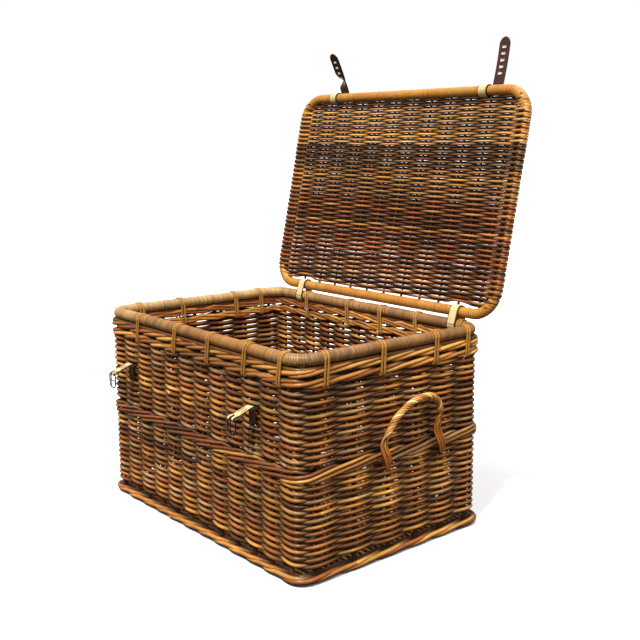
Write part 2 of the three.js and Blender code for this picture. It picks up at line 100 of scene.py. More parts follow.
# The grip from foot to foot: distance beyond the wall centreline, y, z.
HANDLE_ROUTE = (
    (4.2, -26, 163), (15, -29, 164), (20, -37, 181), (21, -46, 205), (24, -33, 229),
    (27, -18, 249), (30, 12, 267), (31, 48, 271), (30, 69, 258), (27, 78, 235),
    (23, 76, 215), (21, 78, 203), (20, 89, 182), (15, 97, 166), (4.2, 101, 165),
)

HINGE_STRAP_X = (-206, 240)
HINGE_STRAP_WIDTH = 21
BAND_X = (-200, 222)
STRAP_X = (-175, 250)
STRAP_WIDTH = 25
STRAP_LENGTH = 84
STRAP_ROOT = 13.9
STRAP_TANG = 3.2  # how far a strap reaches back from its fold towards the lid's pole
STRAP_LEAN = (math.radians(35), 0.0)
STRAP_TWIST = math.radians(34)  # the left strap turns towards edge-on
TWIST_START, TWIST_FULL, TWIST_END = 8, 22, 44  # distances from the fold
STRAP_HOLES = 5
HOLE_PITCH = 12
TAB_X = (-209, 186)
TAB_WIDTH = 18
TAB_DROP = math.radians(20)
TAB_Z = 273
TAB_HINGE_Y = -HALF_DEPTH - 11.1
BAR_REACH = 41.5
WIRE_RADIUS = 1.3
BUCKLE_WIDTH = 24
BUCKLE_LENGTH = 26
SIDES = ("left", "right")


# ---- colours
def linear(r, g, b):
    c = np.array([r, g, b]) / 255
    return np.where(c <= 0.04045, c / 12.92, ((c + 0.055) / 1.055) ** 2.4)


CHOCOLATE = linear(92, 54, 28)
BROWN = linear(132, 82, 42)
REDDISH = linear(140, 78, 40)
HONEY = linear(168, 108, 50)
GOLDEN = linear(192, 136, 64)
GREY_TAN = linear(158, 118, 74)
PALE = linear(222, 182, 118)
GOLD_CANE = linear(198, 142, 58)
ORANGE_CANE = linear(186, 112, 42)
TAN_CANE = linear(172, 124, 64)
TIE_CANE = linear(176, 122, 52)
RIM_GREY = linear(124, 92, 60)
RIM_GOLD = linear(158, 108, 52)
RIM_PALE = linear(204, 168, 114)
CREAM = linear(214, 188, 136)
DARK_EDGE = linear(52, 30, 18)
DARK_LEATHER = linear(64, 34, 24)

WALL_MIX = ((CHOCOLATE, 0.1), (BROWN, 0.26), (REDDISH, 0.14), (HONEY, 0.24), (GOLDEN, 0.12), (GREY_TAN, 0.14))
BORDER_MIX = ((BROWN, 0.18), (REDDISH, 0.1), (HONEY, 0.36), (GOLDEN, 0.3), (GREY_TAN, 0.06))
DARK_MIX = ((CHOCOLATE * 0.6, 0.5), (CHOCOLATE, 0.3), (BROWN * 0.8, 0.2))
HANDLE_MIX = ((GOLDEN, 0.5), (HONEY, 0.15), (PALE, 0.35))


def draw_tint(mix):
    shares = np.array([share for _, share in mix])
    colour = mix[rng.choice(len(mix), p=shares / shares.sum())][0]
    return colour * math.exp(rng.normal(0, 0.14))


# ---- rods and strips
def unit(v):
    return v / np.maximum(np.linalg.norm(v, axis=-1, keepdims=True), 1e-9)


def tangents(points):
    return unit(np.gradient(points, axis=0))


def distance_along(points):
    return np.concatenate([[0], np.cumsum(np.linalg.norm(np.diff(points, axis=0), axis=1))])


def smooth(t):
    """An even rise from 0 to 1 that starts and ends level."""
    return t * t * (3 - 2 * t)


def ring_facing(sides):
    """How far each point round a rod faces along the rod's side vector and along its up vector."""
    angle = (np.arange(sides) + 0.5) * 2 * np.pi / sides
    return np.cos(angle), np.sin(angle)


def transport(points, first):
    """A side vector carried along a route without twisting, and the vector square to it."""
    along = tangents(points)
    side = np.zeros_like(points)
    current = np.array(first, float)
    for i, t in enumerate(along):
        current = unit(current - (current @ t) * t)
        side[i] = current
    return side, np.cross(along, side)


def fixed_frame(points, width_axis):
    """Width along a fixed axis, thickness square to it and to the route."""
    side = np.broadcast_to(width_axis, points.shape)
    return side, unit(np.cross(tangents(points), side))


def catmull(points, count):
    """A smooth route through points, with count steps in each span."""
    p = np.array(points, float)
    p = np.vstack([2 * p[0] - p[1], p, 2 * p[-1] - p[-2]])
    t = np.linspace(0, 1, count, endpoint=False)[:, None]
    spans = [
        0.5 * (2 * b + (c - a) * t + (2 * a - 5 * b + 4 * c - d) * t**2 + (3 * b - a - 3 * c + d) * t**3)
        for a, b, c, d in zip(p, p[1:], p[2:], p[3:])
    ]
    return np.vstack([*spans, p[-2]])


def fill(collection, key, values, kind=np.float32):
    collection.foreach_set(key, values.astype(kind).ravel())


class Rods:
    """Swept rods and strips that are written as one mesh, each point with a tint and its place on its rod."""

    def __init__(self):
        self.points, self.tints, self.places, self.quads, self.caps = [], [], [], [], []
        self.count = 0

    def add(self, route, side, up, half_side, half_up, tint, sides=8, closed=False, square=1.0):
        n = len(route)
        side, up = (np.broadcast_to(v, route.shape) for v in (side, up))
        ca, sa = (np.sign(f) * np.abs(f) ** square for f in ring_facing(sides))
        hs, hu = (np.reshape(h, (-1, 1)) if np.ndim(h) < 2 else h for h in (half_side, half_up))
        hs = np.broadcast_to(hs * ca, (n, sides))
        hu = np.broadcast_to(hu * sa, (n, sides))
        ring = route[:, None] + side[:, None] * hs[..., None] + up[:, None] * hu[..., None]
        tint = np.asarray(tint, float)
        tint = tint[:, None] if tint.ndim == 2 else tint
        length = distance_along(route) + 1000 * rng.random()
        place = np.stack([np.broadcast_to(length[:, None], hs.shape), hs, hu], -1)

        i = np.arange(n if closed else n - 1)[:, None]
        j = np.arange(sides)[None]
        near, far = i * sides, (i + 1) % n * sides
        after = (j + 1) % sides
        quads = np.stack([near + j, near + after, far + after, far + j], -1).reshape(-1, 4)
        middle = n // 2
        ahead = route[min(middle + 1, n - 1)] - route[middle - 1]
        outward = np.cross(side[middle], up[middle]) @ ahead > 0
        first, last = np.arange(sides), np.arange(sides) + (n - 1) * sides
        caps = [] if closed else [first[::-1], last]
        if not outward:
            quads, caps = quads[:, ::-1], [c[::-1] for c in caps]
        self.quads.append(quads + self.count)
        self.caps += [c + self.count for c in caps]
        self.points.append(ring.reshape(-1, 3))
        self.tints.append(np.broadcast_to(tint, (n, sides, 3)).reshape(-1, 3))
        self.places.append(place.reshape(-1, 3))
        self.count += n * sides

    def tube(self, route, radius, tint, sides=8, closed=False, first=(0.31, 0.2, 0.93)):
        side, up = transport(route, first)
        self.add(route, side, up, radius, radius, tint, sides, closed)

    def write(self, name, material, body, slot, nodes=(), place=None):
        points = np.concatenate(self.points)
        if place is not None:
            points = place(points)
        quads = np.concatenate(self.quads)
        loops = np.concatenate([quads.ravel(), *self.caps])
        totals = np.array([4] * len(quads) + [len(c) for c in self.caps])
        mesh = bpy.data.meshes.new(name)
        mesh.vertices.add(len(points))
        fill(mesh.vertices, "co", points * MM)
        mesh.loops.add(len(loops))
        fill(mesh.loops, "vertex_index", loops, np.int32)
        mesh.polygons.add(len(totals))
        fill(mesh.polygons, "loop_start", np.cumsum(totals) - totals, np.int32)
        fill(mesh.polygons, "loop_total", totals, np.int32)
        fill(mesh.polygons, "use_smooth", np.arange(len(totals)) < len(quads), bool)
        mesh.update(calc_edges=True)
        tint = mesh.attributes.new("tint", "FLOAT_COLOR", "POINT")
        rgb = np.concatenate(self.tints)
        fill(tint.data, "color", np.column_stack([rgb, np.ones(len(rgb))]))
        rod = mesh.attributes.new("rod", "FLOAT_VECTOR", "POINT")
        fill(rod.data, "vector", np.concatenate(self.places) * MM)
        return add_piece(name, mesh, material, body, nodes)


def add_object(name, data):
    made = bpy.data.objects.new(name, data)
    bpy.context.scene.collection.objects.link(made)
    return made


def add_piece(name, mesh, material, body, nodes=()):
    piece = add_object(name, mesh)
    piece.data.materials.append(material)
    if body:
        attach(piece, body)
    if nodes:
        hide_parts(*nodes)
    return piece


# ---- materials
def new_material(name):
    material = bpy.data.materials.new(name)
    material.use_nodes = True
    tree = material.node_tree
    return material, tree, tree.nodes["Principled BSDF"]


def add_node(tree, kind, **values):
    node = tree.nodes.new(kind)
    for key, value in values.items():
        setattr(node, key, value)
    return node


def set_inputs(node, values):
    for key, value in values.items():
        node.inputs[key].default_value = value


def map_range(tree, source, low, high):
    node = add_node(tree, "ShaderNodeMapRange")
    set_inputs(node, {"To Min": low, "To Max": high})
    tree.links.new(source, node.inputs["Value"])
    return node.outputs["Result"]


def multiply_colour(tree, colour, factor):
    node = add_node(tree, "ShaderNodeVectorMath", operation="SCALE")
    tree.links.new(colour, node.inputs[0])
    tree.links.new(factor, node.inputs["Scale"])
    return node.outputs["Vector"]


def noise_on(tree, coordinates, scale, detail, stretch=(1, 1, 1)):
    mapping = add_node(tree, "ShaderNodeMapping")
    mapping.inputs["Scale"].default_value = stretch
    tree.links.new(coordinates, mapping.inputs["Vector"])
    noise = add_node(tree, "ShaderNodeTexNoise")
    set_inputs(noise, {"Scale": scale, "Detail": detail, "Roughness": 0.6})
    tree.links.new(mapping.outputs["Vector"], noise.inputs["Vector"])
    return noise.outputs["Fac"]


WARM_GLOSS = (1.0, 0.82, 0.62, 1)


def surface(name, grain, blotch, rough, coat, bump, fibres=(0.05, 1, 1), fibre_scale=900,
            specular=0.5):
    """A tinted natural surface: fine fibres along the rod, soft blotches, and a worn lacquer."""
    material, tree, shader = new_material(name)
    tint = add_node(tree, "ShaderNodeAttribute", attribute_name="tint").outputs["Color"]
    rod = add_node(tree, "ShaderNodeAttribute", attribute_name="rod").outputs["Vector"]
    fibre = noise_on(tree, rod, fibre_scale, 3, fibres)
    patch = noise_on(tree, rod, 55, 4)
    colour = multiply_colour(tree, tint, map_range(tree, fibre, 1 - grain, 1 + grain))
    colour = multiply_colour(tree, colour, map_range(tree, patch, 1 - blotch, 1 + blotch))
    tree.links.new(colour, shader.inputs["Base Color"])
    tree.links.new(map_range(tree, patch, rough[1], rough[0]), shader.inputs["Roughness"])
    set_inputs(shader, {"Coat Weight": coat, "Coat Roughness": 0.25, "Coat Tint": WARM_GLOSS})
    set_inputs(shader, {"Specular IOR Level": specular, "Specular Tint": WARM_GLOSS})
    relief = add_node(tree, "ShaderNodeBump")
    set_inputs(relief, {"Strength": bump, "Distance": 0.0004})
    tree.links.new(fibre, relief.inputs["Height"])
    tree.links.new(relief.outputs["Normal"], shader.inputs["Normal"])
    return material


ROD = surface("lacquered_rods", 0.22, 0.5, (0.26, 0.48), 0.12, 0.45)
CANE = surface("split_cane", 0.24, 0.35, (0.3, 0.5), 0.12, 0.4, fibres=(0.08, 1, 1))
POLE = surface("dark_pole", 0.4, 0.5, (0.4, 0.6), 0.05, 0.5)
CREAM_LEATHER = surface("cream_leather", 0.12, 0.3, (0.6, 0.8), 0.0, 0.5, (1, 1, 1), 1400, 0.3)
BROWN_LEATHER = surface("brown_leather", 0.35, 0.55, (0.35, 0.6), 0.15, 0.6, (1, 1, 1), 1100)


STEEL_STOPS = ((0.45, (0.02, 0.02, 0.024, 1)), (0.75, (0.12, 0.115, 0.11, 1)))


def steel():
    material, tree, shader = new_material("black_steel")
    wear = noise_on(tree, add_node(tree, "ShaderNodeTexCoord").outputs["Object"], 260, 5)
    ramp = add_node(tree, "ShaderNodeValToRGB")
    for stop, (place, colour) in zip(ramp.color_ramp.elements, STEEL_STOPS):
        stop.position = place
        stop.color = colour
    tree.links.new(wear, ramp.inputs["Fac"])
    tree.links.new(ramp.outputs["Color"], shader.inputs["Base Color"])
    tree.links.new(map_range(tree, wear, 0.25, 0.5), shader.inputs["Roughness"])
    shader.inputs["Metallic"].default_value = 0.75
    return material


STEEL = steel()


# ---- the wall's loop
class Loop:
    """A rounded rectangle seen from above, measured from the middle of its -Y side towards +X."""

    def __init__(self, half_x, half_y, radius):
        x, y, quarter = half_x - radius, half_y - radius, radius * math.pi / 2
        self.radius = radius
        steps = [0, x, quarter, 2 * y, quarter, 2 * x, quarter, 2 * y, quarter, x]
        self.marks = np.cumsum(steps)
        self.length = self.marks[-1]
        self.cx = [0, x, x, x, x, -x, -x, -x, -x, 0]
        self.cy = [-y, -y, -y, y, y, y, y, -y, -y, -y]
        self.turn = np.radians([-90, -90, 0, 0, 90, 90, 180, 180, 270, 270])

    def at(self, s, offset=0.0, z=0.0):
        """Points at s along the line, moved out by offset, with the outward direction at each."""
        s = np.mod(s, self.length)
        a = np.interp(s, self.marks, self.turn)
        out = np.stack([np.cos(a), np.sin(a), np.zeros_like(a)], -1)
        x, y = (np.interp(s, self.marks, c) for c in (self.cx, self.cy))
        centre = np.stack([x, y, np.broadcast_to(z, s.shape)], -1)
        return centre + out * np.reshape(self.radius + offset, (-1, 1)), out

    def nearest(self, x, y):
        s = np.linspace(0, self.length, 8000, endpoint=False)
        points, _ = self.at(s)
        return s[np.argmin((points[:, 0] - x) ** 2 + (points[:, 1] - y) ** 2)]


wall = Loop(HALF_LENGTH, HALF_DEPTH, WALL_CORNER_RADIUS)
rim_loop = Loop(HALF_LENGTH, HALF_DEPTH, RIM_CORNER_RADIUS)
long_stake_x = [((i + 0.5) / LONG_WALL_STAKES - 0.5) * 2 * HALF_LENGTH for i in range(LONG_WALL_STAKES)]
STAKE_POINTS = {
    "front": [(x, -HALF_DEPTH) for x in long_stake_x],
    "back": [(x, HALF_DEPTH) for x in long_stake_x],
    "left": [(-HALF_LENGTH, y) for y in END_STAKE_Y],
    "right": [(HALF_LENGTH, y) for y in END_STAKE_Y],
}
stake_marks = np.sort([wall.nearest(x, y) for points in STAKE_POINTS.values() for x, y in points])
STAKES = len(stake_marks)


def stake_to_line(q):
    """Distance along the wall of a place counted in stakes; whole numbers are stakes."""
    turns, rest = np.divmod(q, STAKES)
    marks = np.concatenate([stake_marks, [stake_marks[0] + wall.length]])
    return np.interp(rest, np.arange(STAKES + 1), marks) + turns * wall.length


def drift(s, z):
    """The slow waviness that neighbouring rows share."""
    t = 2 * np.pi * s / wall.length
    slow = 0.9 * np.sin(3 * t + 0.013 * z) + 0.6 * np.sin(8 * t - 0.02 * z + 1)
    return slow + 0.35 * np.sin(17 * t + 0.05 * z)


def tone(s, z):
    """Broad patches of lighter and darker wall."""
    t = 2 * np.pi * s / wall.length
    broad = 1 + 0.14 * np.sin(2 * t + 0.03 * z + 0.5) + 0.12 * np.sin(5 * t - 0.045 * z)
    return broad + 0.08 * np.sin(0.11 * z + t)


# ---- randed walls
WALL_SWING = 4.6  # how far a weaver's middle goes to each side of the stakes' line
WALL_ROD = 3.42
SAMPLES = 10  # route points from one stake to the next
DEEP_GAP_SHADE = 0.03  # painted shade: tone deep between rods
CREST_HIGHLIGHT = 1.22  # painted highlight: what a crest has beyond that
UNDERSIDE = 0.42  # painted shade: share of the light that a rod's underside gets
GLINT_PLACE = (470, 88)  # most painted glints: distance along the wall's line, on the right end, and height
GLINT_SPREAD = (120, 44)
GLINT_LEAST, GLINT_GAIN = 0.1, 0.55


def painted_shading(depth, facing, rising, reach):
    """Painted light and shade on points between rods, by depth from the panel's mid plane and how they face
    out and up: darkest deep in the gaps and on undersides, lightest on crests.
    """
    towards = np.clip(0.5 + 1.4 * facing, 0, 1)
    front = np.clip((depth + 0.4 * reach) / (1.35 * reach), 0, 1)
    back = np.clip((-depth + 0.4 * reach) / (1.35 * reach), 0, 1)
    lit = towards * front + (1 - towards) * back
    above = np.clip(0.75 + 0.9 * rising, 0, 1)
    return (DEEP_GAP_SHADE + CREST_HIGHLIGHT * lit**2) * (UNDERSIDE + (1 - UNDERSIDE) * above)


def glint_share(s, z):
    """How many of the gaps beside the stakes get a painted glint, a pale patch on the rod behind, most in the
    lower part of the right end.
    """
    along, up = ((v - place) / spread for v, place, spread in zip((s, z), GLINT_PLACE, GLINT_SPREAD))
    return GLINT_LEAST + GLINT_GAIN * np.exp(-(along**2)) * np.exp(-(up**2))


def weave_band(node, first_row):
    """Rows of rods that pass outside one stake and inside the next."""
    rods = Rods()
    low, high = (corner[2] for corner in box_mm(node))
    rows = round((high - low) / ROW_PITCH)
    pitch = (high - low) / rows
    facing, rising = ring_facing(8)
    for row in range(rows):
        start = rng.uniform(0, STAKES)
        end = start + STAKES
        level = low + pitch * (row + 0.5)
        while start < end:
            span = min(rng.uniform(7, 14), end - start)
            q = np.arange(start, start + span + 0.8, 1 / SAMPLES)
            s = stake_to_line(q)
            phase = q + row + first_row
            swinging = np.cos(np.pi * phase)
            hook = -0.75 * np.sin(np.pi * phase) + 0.25 * np.sin(2 * np.pi * phase)
            z = level + hook + 0.5 * drift(s, level) * min(1, row, rows - 1 - row)
            z = z + rng.normal(0, 0.25)
            thick = WALL_ROD * np.linspace(1.07, 0.93, len(q)) * rng.uniform(0.94, 1.07)
            route, out = wall.at(s, WALL_SWING * swinging * rng.uniform(0.92, 1.06), z)
            depth = WALL_SWING * swinging[:, None] + WALL_ROD * facing
            # Painted shade between rods and on undersides, painted highlight on crests, multiplied into the
            # tint.
            light = painted_shading(depth, facing, rising, WALL_SWING + WALL_ROD)
            tint = draw_tint(WALL_MIX) * (light * tone(s, level)[:, None])[..., None]
            # Painted glints: in some gaps beside the stakes, the outward face of the rod that swings inside
            # is painted cream.
            luck = rng.random(len(q) // SAMPLES + 3)[np.round(q - q[0]).astype(int)]
            glint_painted_here = luck < glint_share(s, level)
            pale = glint_painted_here * np.clip((-swinging - 0.45) * 3, 0, 1)
            pale = (pale[:, None] * np.clip(2 * facing, 0, 1))[..., None]
            tint = tint * (1 - pale) + CREAM * pale
            rods.add(route, out, Z_AXIS, thick, thick, tint)
            start += span
    rods.write(f"{node}_rods", ROD, "trunk", "brown_weave", [node])


weave_band("lower_weave", 0)
weave_band("upper_weave", 1)


# ---- wales and borders
WALE_SIDES = 10


def wale(node, strands, tiers, rise, radius, out_swing, in_swing, mix, flare=0.0, rails=()):
    """Two layers of strands that pass over all but one of a set of stakes, climbing by rise as they go.

    Each tier is a height with its own set of strands. Each rail is a straight rod beside the strands:
    its offset from the wall's line, its height and its radius.
    """
    rods = Rods()
    facing, rising = ring_facing(WALE_SIDES)
    for number, middle in enumerate(tiers):
        for strand in range(2 * strands):
            outer = strand < strands
            start = rng.uniform(0, STAKES)
            end = start + STAKES
            while start < end:
                span = min(rng.choice([2, 3]) * strands, end - start)
                q = np.arange(start, start + span + 0.6, 1 / SAMPLES)
                s = stake_to_line(q)
                phase = np.mod(q - strand - 0.5 * number - (0 if outer else 0.5), strands)
                gap = np.minimum(phase, strands - phase)
                inside = np.exp(-((gap / 0.5) ** 2)) if outer else 1.0
                edge = 0.7 / strands
                climb = np.interp(phase, [0, 0.7, strands - 0.7, strands], [0, edge - 0.5, 0.5 - edge, 0])
                z = middle + rise * climb + rng.normal(0, 0.45) + 0.5 * drift(s, middle)
                offset = out_swing - (out_swing + in_swing) * inside
                offset = offset + flare + 0.5 * np.cos(2 * np.pi * q) + rng.normal(0, 0.25)
                shown = np.clip((gap - 0.2) / (strands / 2 - 0.2), 0, 1)
                leaf = 0.82 + 0.26 * np.sin(np.pi * shown / 2)
                thick = radius * rng.uniform(0.92, 1.06) * leaf
                route, out = wall.at(s, offset, z)
                depth = offset[:, None] - flare + radius * facing
                # Painted shade between strands and on undersides, painted highlight on crests.
                light = painted_shading(depth, facing, rising, out_swing + radius)
                tint = draw_tint(mix) * (light * tone(s, middle)[:, None])[..., None]
                rods.add(route, out, Z_AXIS, thick, thick, tint, WALE_SIDES)
                start += span
    for offset, z, thick in rails:
        s = np.linspace(0, wall.length, 300, endpoint=False)
        route, out = wall.at(s, offset, z)
        # Painted shade and highlight on the rails, as on the strands.
        light = painted_shading(np.full((len(s), 1), 0.5 * offset), facing, rising, out_swing)
        tint = draw_tint(mix) * light[..., None]
        rods.add(route, out, Z_AXIS, thick, thick, tint, WALE_SIDES, closed=True)
    rods.write(f"{node}_rods", ROD, "trunk", "border_rods", [node])


wale_middle = sum(corner[2] for corner in box_mm("mid_wale")) / 2
border_middle = (border_low[2] + border_high[2]) / 2
BORDER_TIERS = (border_middle - 8, border_middle + 8)
BORDER_RAILS = tuple((offset, border_high[2] + 0.4, 3.8) for offset in (-3.8, 3.8))
WALE_MIX = tuple((colour * 0.7, share) for colour, share in WALL_MIX)
wale("mid_wale", 4, (wale_middle,), 30, 3.4, 5.6, 5.2, WALE_MIX)
wale("top_border", 3, BORDER_TIERS, 18, 3.9, 5.6, 5.0, BORDER_MIX, rails=BORDER_RAILS)
wale("foot_border", 3, (10.4,), 13, 4.2, 6.6, 4.6, BORDER_MIX, flare=1.2)


# ---- stakes and base
STAKE_SPREAD = (1.9, 1.2)  # how much broader than round a stake is along the wall, at its foot and top


def stake_set(side, points):
    """Upright sticks, broader along the wall than through it."""
    rods = Rods()
    on_end = abs(points[0][0]) == HALF_LENGTH
    for x, y in points:
        z = np.linspace(3, border_high[2] + 1, 40)
        wander = 0.5 * np.sin(z / 31 + rng.uniform(0, 6))
        across = np.zeros_like(z)
        route = np.stack([x + (across if on_end else wander), y + (wander if on_end else across), z], -1)
        broad = STAKE_RADIUS + np.linspace(*STAKE_SPREAD, len(z))
        thin = np.linspace(STAKE_RADIUS, STAKE_RADIUS - 0.4, len(z))
        along_x, along_y = (thin, broad) if on_end else (broad, thin)
        # The stakes' near-black is partly painted shade: they stand back in the weave's shadow.
        rods.add(route, X_AXIS, Y_AXIS, along_x, along_y, draw_tint(DARK_MIX) * 0.5, sides=10)
    rods.write(f"{side}_stake_rods", POLE, "trunk", "dark_rods", [f"{side}_stakes"])


for side_name, stake_places in STAKE_POINTS.items():
    stake_set(side_name, stake_places)


BASE_INSET = 8
BASE_ROWS = 62
BASE_SWING = 3.1
BASE_ROD = 3.05
corner_x, corner_y = HALF_LENGTH - WALL_CORNER_RADIUS, HALF_DEPTH - WALL_CORNER_RADIUS


def base_half_width(y):
    """Half length of the base at a depth y, inside the foot border."""
    over = max(0, abs(y) - corner_y)
    return corner_x + math.sqrt(max((WALL_CORNER_RADIUS - BASE_INSET) ** 2 - over**2, 0))


def base():
    weave = Rods()
    thickness = box_mm("base_weave")[1][2]
    middle = thickness / 2 + 0.3
    depth = HALF_DEPTH - 10
    facing, _ = ring_facing(8)
    for row in range(BASE_ROWS):
        y = -depth + 2 * depth * (row + 0.5) / BASE_ROWS
        half = base_half_width(y)
        x = np.arange(-half, half, 4.9)
        q = np.interp(x, long_stake_x, np.arange(LONG_WALL_STAKES))
        swinging = np.cos(np.pi * (q + row))
        route = np.stack([x, y + 0.5 * np.sin(x / 70 + row), middle + BASE_SWING * swinging], -1)
        thick = BASE_ROD * rng.uniform(0.93, 1.05) * (0.86 + 0.14 * swinging**2)
        # Painted shade between rods, painted highlight on crests.
        light = painted_shading(BASE_SWING * swinging[:, None] + BASE_ROD * facing, facing, 0.3, 6.1)
        weave.add(route, Z_AXIS, Y_AXIS, thick, thick, draw_tint(WALL_MIX) * light[..., None])
    weave.write("base_weave_rods", ROD, "trunk", "brown_weave", ["base_weave"])
    sticks = Rods()
    for x in long_stake_x:
        y = np.linspace(-depth, depth, 30)
        route = np.stack([x + 0.4 * np.sin(y / 60), y, np.full_like(y, middle)], -1)
        # The sticks' near-black is partly painted shade, as for the wall's stakes.
        sticks.tube(route, 2.9, draw_tint(DARK_MIX), sides=10, first=X_AXIS)
    sticks.write("base_stick_rods", POLE, "trunk", "dark_rods", ["base_sticks"])


base()


# ---- wound cane
def wound_pole(rods, route, side, radius, turn_widths, groove, tint_of, sides=14, gap=None, steps=5):
    """A sleeve of cane turns: each turn is a low ridge with painted shade in its groove, and a turn with a
    gap is sunk and painted dark there, partly for the pole beside it and partly as painted shade in the gap.
    """
    length = distance_along(route)
    edges = np.concatenate([[0], np.cumsum(turn_widths)])
    edges = edges[edges < length[-1] + turn_widths[-1]]
    places = np.concatenate([np.linspace(a, b, steps, endpoint=False) for a, b in zip(edges, edges[1:])])
    places = places[places <= length[-1]]

    def along(values):
        return np.stack([np.interp(places, length, values[:, k]) for k in range(3)], -1)

    angle = (np.arange(sides) + 0.5) / sides
    turn = np.interp(places, edges, np.arange(len(edges)))[:, None] + angle[None]
    index = np.floor(turn).astype(int)
    part = turn - index
    dip = 1 - np.sqrt(np.maximum(1 - (2 * part - 1) ** 2, 0))
    reach = radius - groove * dip
    tint = tint_of(index, places)
    if gap is not None:
        open_part = part < gap[np.minimum(index, len(gap) - 1)]
        reach = np.where(open_part, radius - 1.6 * groove, reach)
        # A gap is painted dark: partly the pole's colour, partly painted shade.
        tint = np.where(open_part[..., None], tint * 0.25, tint)
    # Painted shade in the grooves between turns.
    tint = tint * (1 - 0.7 * dip[..., None])
    rods.add(along(route), unit(along(side)), Z_AXIS, reach, reach, tint, sides)


RIM_START = rim_loop.nearest(0, HALF_DEPTH)  # the winding's two ends meet at the middle of the back
RIM_TURN = 3.6  # width of one turn of cane
RIM_GROOVE = 0.95
RIM_POLE_RADIUS = RIM_WRAP_RADIUS - 1.4

# How golden and how pale the winding is, at shares of the way round from the middle of the back.
RIM_MARKS = (0, 0.1, 0.14, 0.2, 0.35, 0.52, 0.62, 0.7, 0.86, 0.92, 1)
RIM_GOLDEN = (0.8, 0.75, 0.3, 0.35, 0.5, 0.5, 0.7, 0.9, 0.45, 0.35, 0.8)
RIM_PALENESS = (0, 0, 0.15, 0, 0, 0.1, 0.35, 0.75, 0.5, 0.1, 0)


def rim():
    s = np.linspace(0, rim_loop.length, 900) + RIM_START
    route, out = rim_loop.at(s, 0.0, RIM_Z)
    route[:, 2] += 0.4 * np.sin(7 * np.pi * s / rim_loop.length)
    turns = RIM_TURN * rng.uniform(0.9, 1.1, int(rim_loop.length / RIM_TURN) + 20)
    shade = rng.normal(0, 0.17, len(turns) + 2)

    def tint_of(index, places):
        where = np.mod(places + RIM_START, rim_loop.length) / rim_loop.length
        gold = np.interp(where, RIM_MARKS, RIM_GOLDEN)
        pale = np.interp(where, RIM_MARKS, RIM_PALENESS)
        colour = RIM_GREY + (RIM_GOLD - RIM_GREY) * gold[:, None]
        colour = colour + (RIM_PALE - colour) * pale[:, None]
        patchy = 1 + 0.1 * np.sin(places / 23) + 0.08 * np.sin(places / 61 + 2)
        return (colour * patchy[:, None])[:, None] * np.exp(shade[index])[..., None]

    rods = Rods()
    wound_pole(rods, route, out, RIM_WRAP_RADIUS, turns, RIM_GROOVE, tint_of)
    rods.write("rim_binding_cane", CANE, "trunk", "tan_cane", ["rim_binding"])
    pole = Rods()
    s = np.linspace(0, rim_loop.length, 240, endpoint=False)
    route, out = rim_loop.at(s, 0.0, RIM_Z)
    pole.add(route, out, Z_AXIS, RIM_POLE_RADIUS, RIM_POLE_RADIUS, BROWN, 12, closed=True)
    pole.write("rim_pole_rod", POLE, "trunk", "dark_rods", ["rim_pole"])


rim()


TIE_COUNT = 18
TIE_SPREAD = 3.1  # each cane's distance from the tie's middle
TIE_HALF_WIDTH = 2.1
TIE_LEAN, FRONT_TIE_LEAN = 3, 7.5  # how far a tie slants from its foot to the top of the rim


def tie(number):
    """Two flat canes over the rim pole, down both faces of the border and through the wall."""
    node = f"rim_tie_{number:02d}"
    low, high = box_mm(node)
    middle = (low + high) / 2
    s0 = wall.nearest(middle[0], middle[1])
    _, out = wall.at(np.array([s0]))
    out = out[0]
    along = np.cross(Z_AXIS, out)
    rods = Rods()
    front = out[1] < -0.5
    right = out[0] > 0.5
    for shift in (-TIE_SPREAD, TIE_SPREAD):
        reach = RIM_WRAP_RADIUS + 0.75
        bottom = low[2] + 0.9 - RIM_Z
        arc = np.linspace(0, math.pi, 13)
        across = np.concatenate([[reach - 3, reach], reach * np.cos(arc), [-reach, -reach + 3]])
        rise = np.concatenate([[bottom, bottom + 3], reach * np.sin(arc), [bottom + 3, bottom]])
        lean = (FRONT_TIE_LEAN if front else TIE_LEAN) + rng.uniform(-1, 1.5)
        slip = shift + lean * (rise - bottom) / (reach - bottom) - lean / 2 + rng.normal(0, 0.25)
        knots = np.stack([across, rise, slip], -1)
        knots = catmull(np.vstack([knots, knots[:1]]), 4)[:-1]
        base_point = np.array([middle[0], middle[1], RIM_Z])
        route = base_point + knots[:, :1] * out + knots[:, 1:2] * Z_AXIS + knots[:, 2:] * along
        colour = (TIE_CANE if front or right else TAN_CANE) * rng.uniform(0.8, 1.1)
        side, up = fixed_frame(route, along)
        rods.add(route, side, up, TIE_HALF_WIDTH, 0.8, colour, 10, closed=True, square=0.55)
    rods.write(f"{node}_cane", CANE, "trunk", "golden_cane" if front else "tan_cane", [node])


for tie_number in range(1, TIE_COUNT + 1):
    tie(tie_number)


# ---- handles
HANDLE_STRANDS = 6
HANDLE_ROD = 1.95
HANDLE_LAY = 34  # length of one full twist of the rope
ROPE_RADIUS = 3.9  # from the rope's middle to each strand's
FOOT_PITCH = 2.5  # between strands where they lie side by side


